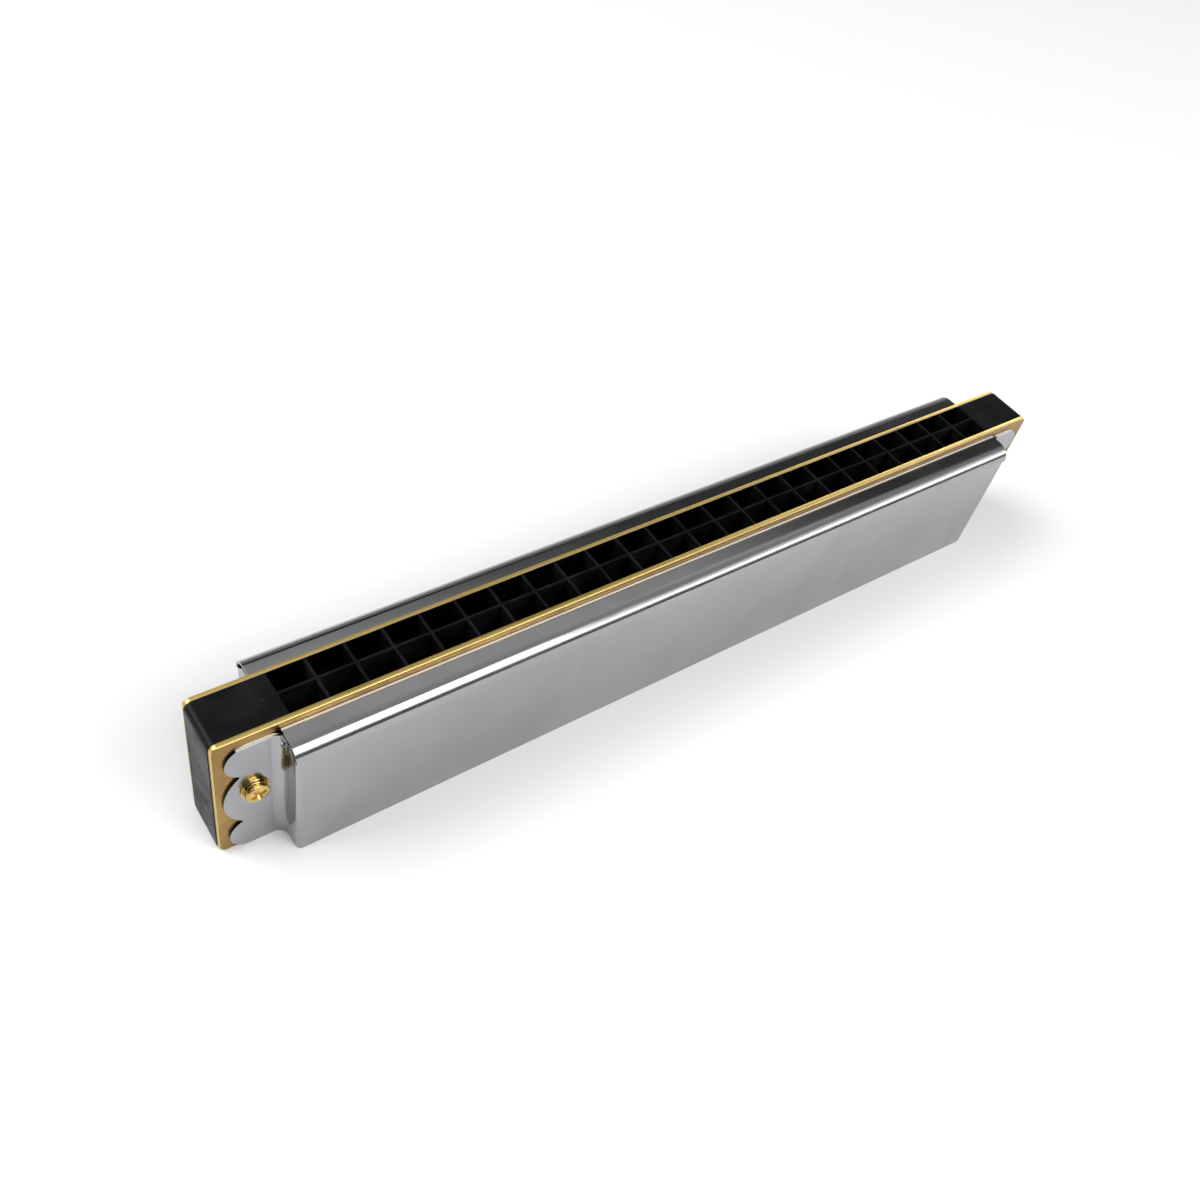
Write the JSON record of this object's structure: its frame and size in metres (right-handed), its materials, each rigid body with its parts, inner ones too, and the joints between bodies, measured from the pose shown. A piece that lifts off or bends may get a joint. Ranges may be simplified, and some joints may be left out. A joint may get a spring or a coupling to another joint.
{
  "type": "harmonica",
  "caption": "Tremolo harmonica with a double row of square mouth holes in a dark comb, brass reed plates, stamped chrome covers with lobed ends, and gold screws.",
  "frame": {"origin": "centre of the rear edge of the comb, which is also the middle of the underside of the bounding box as the harmonica stands on that edge", "axes": "+X along the instrument towards the lowest notes, +Y from the upper cover to the lower cover, +Z from the rear edge to the mouth holes"},
  "size_m": [0.175, 0.02, 0.027],
  "materials": {
    "comb": "satin black moulded plastic",
    "reed_plate": "rolled brass sheet, lightly dulled",
    "cover": "polished chrome plate with fine hairlines",
    "reed": "phosphor bronze strip",
    "rivet": "brass, worn smooth",
    "screw": "polished gold-coloured plate"
  },
  "bodies": {
    "harmonica": {"comb": "comb", "upper_reed_plate": "reed_plate", "lower_reed_plate": "reed_plate", "upper_cover": "cover", "lower_cover": "cover", "reed_bases": "reed", "reed_rivets": "rivet", "reed_plate_pins": "rivet", "cover_screws": "screw", "flat_washers": "screw", "lock_washers": "screw", "cover_nuts": "screw"},
    "upper_reed_01": {"upper_reed_01": "reed"},
    "lower_reed_01": {"lower_reed_01": "reed"},
    "upper_reed_02": {"upper_reed_02": "reed"},
    "lower_reed_02": {"lower_reed_02": "reed"},
    "upper_reed_03": {"upper_reed_03": "reed"},
    "lower_reed_03": {"lower_reed_03": "reed"},
    "upper_reed_04": {"upper_reed_04": "reed"},
    "lower_reed_04": {"lower_reed_04": "reed"},
    "upper_reed_05": {"upper_reed_05": "reed"},
    "lower_reed_05": {"lower_reed_05": "reed"},
    "upper_reed_06": {"upper_reed_06": "reed"},
    "lower_reed_06": {"lower_reed_06": "reed"},
    "upper_reed_07": {"upper_reed_07": "reed"},
    "lower_reed_07": {"lower_reed_07": "reed"},
    "upper_reed_08": {"upper_reed_08": "reed"},
    "lower_reed_08": {"lower_reed_08": "reed"},
    "upper_reed_09": {"upper_reed_09": "reed"},
    "lower_reed_09": {"lower_reed_09": "reed"},
    "upper_reed_10": {"upper_reed_10": "reed"},
    "lower_reed_10": {"lower_reed_10": "reed"},
    "upper_reed_11": {"upper_reed_11": "reed"},
    "lower_reed_11": {"lower_reed_11": "reed"},
    "upper_reed_12": {"upper_reed_12": "reed"},
    "lower_reed_12": {"lower_reed_12": "reed"},
    "upper_reed_13": {"upper_reed_13": "reed"},
    "lower_reed_13": {"lower_reed_13": "reed"},
    "upper_reed_14": {"upper_reed_14": "reed"},
    "lower_reed_14": {"lower_reed_14": "reed"},
    "upper_reed_15": {"upper_reed_15": "reed"},
    "lower_reed_15": {"lower_reed_15": "reed"},
    "upper_reed_16": {"upper_reed_16": "reed"},
    "lower_reed_16": {"lower_reed_16": "reed"},
    "upper_reed_17": {"upper_reed_17": "reed"},
    "lower_reed_17": {"lower_reed_17": "reed"},
    "upper_reed_18": {"upper_reed_18": "reed"},
    "lower_reed_18": {"lower_reed_18": "reed"},
    "upper_reed_19": {"upper_reed_19": "reed"},
    "lower_reed_19": {"lower_reed_19": "reed"},
    "upper_reed_20": {"upper_reed_20": "reed"},
    "lower_reed_20": {"lower_reed_20": "reed"},
    "upper_reed_21": {"upper_reed_21": "reed"},
    "lower_reed_21": {"lower_reed_21": "reed"},
    "upper_reed_22": {"upper_reed_22": "reed"},
    "lower_reed_22": {"lower_reed_22": "reed"},
    "upper_reed_23": {"upper_reed_23": "reed"},
    "lower_reed_23": {"lower_reed_23": "reed"},
    "upper_reed_24": {"upper_reed_24": "reed"},
    "lower_reed_24": {"lower_reed_24": "reed"}
  },
  "joints": [
    {"name": "upper_reed_01_swing", "type": "hinge", "parent": "harmonica", "child": "upper_reed_01", "pos_m": [0.07245, -0.00387, 0.00612], "axis": [1, 0, 0], "range_deg": [-4, 4], "stiffness_Nm_per_rad": 0.0278},
    {"name": "lower_reed_01_swing", "type": "hinge", "parent": "harmonica", "child": "lower_reed_01", "pos_m": [0.07245, 0.00387, 0.00612], "axis": [1, 0, 0], "range_deg": [-4, 4], "stiffness_Nm_per_rad": 0.0278},
    {"name": "upper_reed_02_swing", "type": "hinge", "parent": "harmonica", "child": "upper_reed_02", "pos_m": [0.06615, -0.00502, 0.02168], "axis": [1, 0, 0], "range_deg": [-4, 4], "stiffness_Nm_per_rad": 0.0273},
    {"name": "lower_reed_02_swing", "type": "hinge", "parent": "harmonica", "child": "lower_reed_02", "pos_m": [0.06615, 0.00502, 0.02168], "axis": [1, 0, 0], "range_deg": [-4, 4], "stiffness_Nm_per_rad": 0.0273},
    {"name": "upper_reed_03_swing", "type": "hinge", "parent": "harmonica", "child": "upper_reed_03", "pos_m": [0.05985, -0.00387, 0.00675], "axis": [1, 0, 0], "range_deg": [-4, 4], "stiffness_Nm_per_rad": 0.0267},
    {"name": "lower_reed_03_swing", "type": "hinge", "parent": "harmonica", "child": "lower_reed_03", "pos_m": [0.05985, 0.00387, 0.00675], "axis": [1, 0, 0], "range_deg": [-4, 4], "stiffness_Nm_per_rad": 0.0267},
    {"name": "upper_reed_04_swing", "type": "hinge", "parent": "harmonica", "child": "upper_reed_04", "pos_m": [0.05355, -0.00502, 0.02168], "axis": [1, 0, 0], "range_deg": [-4, 4], "stiffness_Nm_per_rad": 0.0261},
    {"name": "lower_reed_04_swing", "type": "hinge", "parent": "harmonica", "child": "lower_reed_04", "pos_m": [0.05355, 0.00502, 0.02168], "axis": [1, 0, 0], "range_deg": [-4, 4], "stiffness_Nm_per_rad": 0.0261},
    {"name": "upper_reed_05_swing", "type": "hinge", "parent": "harmonica", "child": "upper_reed_05", "pos_m": [0.04725, -0.00387, 0.00737], "axis": [1, 0, 0], "range_deg": [-4, 4], "stiffness_Nm_per_rad": 0.0255},
    {"name": "lower_reed_05_swing", "type": "hinge", "parent": "harmonica", "child": "lower_reed_05", "pos_m": [0.04725, 0.00387, 0.00737], "axis": [1, 0, 0], "range_deg": [-4, 4], "stiffness_Nm_per_rad": 0.0255},
    {"name": "upper_reed_06_swing", "type": "hinge", "parent": "harmonica", "child": "upper_reed_06", "pos_m": [0.04095, -0.00502, 0.02168], "axis": [1, 0, 0], "range_deg": [-4, 4], "stiffness_Nm_per_rad": 0.025},
    {"name": "lower_reed_06_swing", "type": "hinge", "parent": "harmonica", "child": "lower_reed_06", "pos_m": [0.04095, 0.00502, 0.02168], "axis": [1, 0, 0], "range_deg": [-4, 4], "stiffness_Nm_per_rad": 0.025},
    {"name": "upper_reed_07_swing", "type": "hinge", "parent": "harmonica", "child": "upper_reed_07", "pos_m": [0.03465, -0.00387, 0.008], "axis": [1, 0, 0], "range_deg": [-4, 4], "stiffness_Nm_per_rad": 0.0244},
    {"name": "lower_reed_07_swing", "type": "hinge", "parent": "harmonica", "child": "lower_reed_07", "pos_m": [0.03465, 0.00387, 0.008], "axis": [1, 0, 0], "range_deg": [-4, 4], "stiffness_Nm_per_rad": 0.0244},
    {"name": "upper_reed_08_swing", "type": "hinge", "parent": "harmonica", "child": "upper_reed_08", "pos_m": [0.02835, -0.00502, 0.02168], "axis": [1, 0, 0], "range_deg": [-4, 4], "stiffness_Nm_per_rad": 0.0239},
    {"name": "lower_reed_08_swing", "type": "hinge", "parent": "harmonica", "child": "lower_reed_08", "pos_m": [0.02835, 0.00502, 0.02168], "axis": [1, 0, 0], "range_deg": [-4, 4], "stiffness_Nm_per_rad": 0.0239},
    {"name": "upper_reed_09_swing", "type": "hinge", "parent": "harmonica", "child": "upper_reed_09", "pos_m": [0.02205, -0.00387, 0.00862], "axis": [1, 0, 0], "range_deg": [-4, 4], "stiffness_Nm_per_rad": 0.0234},
    {"name": "lower_reed_09_swing", "type": "hinge", "parent": "harmonica", "child": "lower_reed_09", "pos_m": [0.02205, 0.00387, 0.00862], "axis": [1, 0, 0], "range_deg": [-4, 4], "stiffness_Nm_per_rad": 0.0234},
    {"name": "upper_reed_10_swing", "type": "hinge", "parent": "harmonica", "child": "upper_reed_10", "pos_m": [0.01575, -0.00502, 0.02168], "axis": [1, 0, 0], "range_deg": [-4, 4], "stiffness_Nm_per_rad": 0.0228},
    {"name": "lower_reed_10_swing", "type": "hinge", "parent": "harmonica", "child": "lower_reed_10", "pos_m": [0.01575, 0.00502, 0.02168], "axis": [1, 0, 0], "range_deg": [-4, 4], "stiffness_Nm_per_rad": 0.0228},
    {"name": "upper_reed_11_swing", "type": "hinge", "parent": "harmonica", "child": "upper_reed_11", "pos_m": [0.00945, -0.00387, 0.00925], "axis": [1, 0, 0], "range_deg": [-4, 4], "stiffness_Nm_per_rad": 0.0223},
    {"name": "lower_reed_11_swing", "type": "hinge", "parent": "harmonica", "child": "lower_reed_11", "pos_m": [0.00945, 0.00387, 0.00925], "axis": [1, 0, 0], "range_deg": [-4, 4], "stiffness_Nm_per_rad": 0.0223},
    {"name": "upper_reed_12_swing", "type": "hinge", "parent": "harmonica", "child": "upper_reed_12", "pos_m": [0.00315, -0.00502, 0.02168], "axis": [1, 0, 0], "range_deg": [-4, 4], "stiffness_Nm_per_rad": 0.0218},
    {"name": "lower_reed_12_swing", "type": "hinge", "parent": "harmonica", "child": "lower_reed_12", "pos_m": [0.00315, 0.00502, 0.02168], "axis": [1, 0, 0], "range_deg": [-4, 4], "stiffness_Nm_per_rad": 0.0218},
    {"name": "upper_reed_13_swing", "type": "hinge", "parent": "harmonica", "child": "upper_reed_13", "pos_m": [-0.00315, -0.00387, 0.00988], "axis": [1, 0, 0], "range_deg": [-4, 4], "stiffness_Nm_per_rad": 0.0213},
    {"name": "lower_reed_13_swing", "type": "hinge", "parent": "harmonica", "child": "lower_reed_13", "pos_m": [-0.00315, 0.00387, 0.00988], "axis": [1, 0, 0], "range_deg": [-4, 4], "stiffness_Nm_per_rad": 0.0213},
    {"name": "upper_reed_14_swing", "type": "hinge", "parent": "harmonica", "child": "upper_reed_14", "pos_m": [-0.00945, -0.00502, 0.02168], "axis": [1, 0, 0], "range_deg": [-4, 4], "stiffness_Nm_per_rad": 0.0208},
    {"name": "lower_reed_14_swing", "type": "hinge", "parent": "harmonica", "child": "lower_reed_14", "pos_m": [-0.00945, 0.00502, 0.02168], "axis": [1, 0, 0], "range_deg": [-4, 4], "stiffness_Nm_per_rad": 0.0208},
    {"name": "upper_reed_15_swing", "type": "hinge", "parent": "harmonica", "child": "upper_reed_15", "pos_m": [-0.01575, -0.00387, 0.0105], "axis": [1, 0, 0], "range_deg": [-4, 4], "stiffness_Nm_per_rad": 0.0204},
    {"name": "lower_reed_15_swing", "type": "hinge", "parent": "harmonica", "child": "lower_reed_15", "pos_m": [-0.01575, 0.00387, 0.0105], "axis": [1, 0, 0], "range_deg": [-4, 4], "stiffness_Nm_per_rad": 0.0204},
    {"name": "upper_reed_16_swing", "type": "hinge", "parent": "harmonica", "child": "upper_reed_16", "pos_m": [-0.02205, -0.00502, 0.02168], "axis": [1, 0, 0], "range_deg": [-4, 4], "stiffness_Nm_per_rad": 0.0199},
    {"name": "lower_reed_16_swing", "type": "hinge", "parent": "harmonica", "child": "lower_reed_16", "pos_m": [-0.02205, 0.00502, 0.02168], "axis": [1, 0, 0], "range_deg": [-4, 4], "stiffness_Nm_per_rad": 0.0199},
    {"name": "upper_reed_17_swing", "type": "hinge", "parent": "harmonica", "child": "upper_reed_17", "pos_m": [-0.02835, -0.00387, 0.01113], "axis": [1, 0, 0], "range_deg": [-4, 4], "stiffness_Nm_per_rad": 0.0194},
    {"name": "lower_reed_17_swing", "type": "hinge", "parent": "harmonica", "child": "lower_reed_17", "pos_m": [-0.02835, 0.00387, 0.01113], "axis": [1, 0, 0], "range_deg": [-4, 4], "stiffness_Nm_per_rad": 0.0194},
    {"name": "upper_reed_18_swing", "type": "hinge", "parent": "harmonica", "child": "upper_reed_18", "pos_m": [-0.03465, -0.00502, 0.02168], "axis": [1, 0, 0], "range_deg": [-4, 4], "stiffness_Nm_per_rad": 0.019},
    {"name": "lower_reed_18_swing", "type": "hinge", "parent": "harmonica", "child": "lower_reed_18", "pos_m": [-0.03465, 0.00502, 0.02168], "axis": [1, 0, 0], "range_deg": [-4, 4], "stiffness_Nm_per_rad": 0.019},
    {"name": "upper_reed_19_swing", "type": "hinge", "parent": "harmonica", "child": "upper_reed_19", "pos_m": [-0.04095, -0.00387, 0.01175], "axis": [1, 0, 0], "range_deg": [-4, 4], "stiffness_Nm_per_rad": 0.0186},
    {"name": "lower_reed_19_swing", "type": "hinge", "parent": "harmonica", "child": "lower_reed_19", "pos_m": [-0.04095, 0.00387, 0.01175], "axis": [1, 0, 0], "range_deg": [-4, 4], "stiffness_Nm_per_rad": 0.0186},
    {"name": "upper_reed_20_swing", "type": "hinge", "parent": "harmonica", "child": "upper_reed_20", "pos_m": [-0.04725, -0.00502, 0.02168], "axis": [1, 0, 0], "range_deg": [-4, 4], "stiffness_Nm_per_rad": 0.0181},
    {"name": "lower_reed_20_swing", "type": "hinge", "parent": "harmonica", "child": "lower_reed_20", "pos_m": [-0.04725, 0.00502, 0.02168], "axis": [1, 0, 0], "range_deg": [-4, 4], "stiffness_Nm_per_rad": 0.0181},
    {"name": "upper_reed_21_swing", "type": "hinge", "parent": "harmonica", "child": "upper_reed_21", "pos_m": [-0.05355, -0.00387, 0.01238], "axis": [1, 0, 0], "range_deg": [-4, 4], "stiffness_Nm_per_rad": 0.0177},
    {"name": "lower_reed_21_swing", "type": "hinge", "parent": "harmonica", "child": "lower_reed_21", "pos_m": [-0.05355, 0.00387, 0.01238], "axis": [1, 0, 0], "range_deg": [-4, 4], "stiffness_Nm_per_rad": 0.0177},
    {"name": "upper_reed_22_swing", "type": "hinge", "parent": "harmonica", "child": "upper_reed_22", "pos_m": [-0.05985, -0.00502, 0.02168], "axis": [1, 0, 0], "range_deg": [-4, 4], "stiffness_Nm_per_rad": 0.0173},
    {"name": "lower_reed_22_swing", "type": "hinge", "parent": "harmonica", "child": "lower_reed_22", "pos_m": [-0.05985, 0.00502, 0.02168], "axis": [1, 0, 0], "range_deg": [-4, 4], "stiffness_Nm_per_rad": 0.0173},
    {"name": "upper_reed_23_swing", "type": "hinge", "parent": "harmonica", "child": "upper_reed_23", "pos_m": [-0.06615, -0.00387, 0.01301], "axis": [1, 0, 0], "range_deg": [-4, 4], "stiffness_Nm_per_rad": 0.0169},
    {"name": "lower_reed_23_swing", "type": "hinge", "parent": "harmonica", "child": "lower_reed_23", "pos_m": [-0.06615, 0.00387, 0.01301], "axis": [1, 0, 0], "range_deg": [-4, 4], "stiffness_Nm_per_rad": 0.0169},
    {"name": "upper_reed_24_swing", "type": "hinge", "parent": "harmonica", "child": "upper_reed_24", "pos_m": [-0.07245, -0.00502, 0.02168], "axis": [1, 0, 0], "range_deg": [-4, 4], "stiffness_Nm_per_rad": 0.0165},
    {"name": "lower_reed_24_swing", "type": "hinge", "parent": "harmonica", "child": "lower_reed_24", "pos_m": [-0.07245, 0.00502, 0.02168], "axis": [1, 0, 0], "range_deg": [-4, 4], "stiffness_Nm_per_rad": 0.0165}
  ],
  "couplings": [
    {"joint": "lower_reed_01_swing", "follows": "upper_reed_01_swing", "ratio": -1},
    {"joint": "lower_reed_02_swing", "follows": "upper_reed_02_swing", "ratio": -1},
    {"joint": "lower_reed_03_swing", "follows": "upper_reed_03_swing", "ratio": -1},
    {"joint": "lower_reed_04_swing", "follows": "upper_reed_04_swing", "ratio": -1},
    {"joint": "lower_reed_05_swing", "follows": "upper_reed_05_swing", "ratio": -1},
    {"joint": "lower_reed_06_swing", "follows": "upper_reed_06_swing", "ratio": -1},
    {"joint": "lower_reed_07_swing", "follows": "upper_reed_07_swing", "ratio": -1},
    {"joint": "lower_reed_08_swing", "follows": "upper_reed_08_swing", "ratio": -1},
    {"joint": "lower_reed_09_swing", "follows": "upper_reed_09_swing", "ratio": -1},
    {"joint": "lower_reed_10_swing", "follows": "upper_reed_10_swing", "ratio": -1},
    {"joint": "lower_reed_11_swing", "follows": "upper_reed_11_swing", "ratio": -1},
    {"joint": "lower_reed_12_swing", "follows": "upper_reed_12_swing", "ratio": -1},
    {"joint": "lower_reed_13_swing", "follows": "upper_reed_13_swing", "ratio": -1},
    {"joint": "lower_reed_14_swing", "follows": "upper_reed_14_swing", "ratio": -1},
    {"joint": "lower_reed_15_swing", "follows": "upper_reed_15_swing", "ratio": -1},
    {"joint": "lower_reed_16_swing", "follows": "upper_reed_16_swing", "ratio": -1},
    {"joint": "lower_reed_17_swing", "follows": "upper_reed_17_swing", "ratio": -1},
    {"joint": "lower_reed_18_swing", "follows": "upper_reed_18_swing", "ratio": -1},
    {"joint": "lower_reed_19_swing", "follows": "upper_reed_19_swing", "ratio": -1},
    {"joint": "lower_reed_20_swing", "follows": "upper_reed_20_swing", "ratio": -1},
    {"joint": "lower_reed_21_swing", "follows": "upper_reed_21_swing", "ratio": -1},
    {"joint": "lower_reed_22_swing", "follows": "upper_reed_22_swing", "ratio": -1},
    {"joint": "lower_reed_23_swing", "follows": "upper_reed_23_swing", "ratio": -1},
    {"joint": "lower_reed_24_swing", "follows": "upper_reed_24_swing", "ratio": -1}
  ]
}
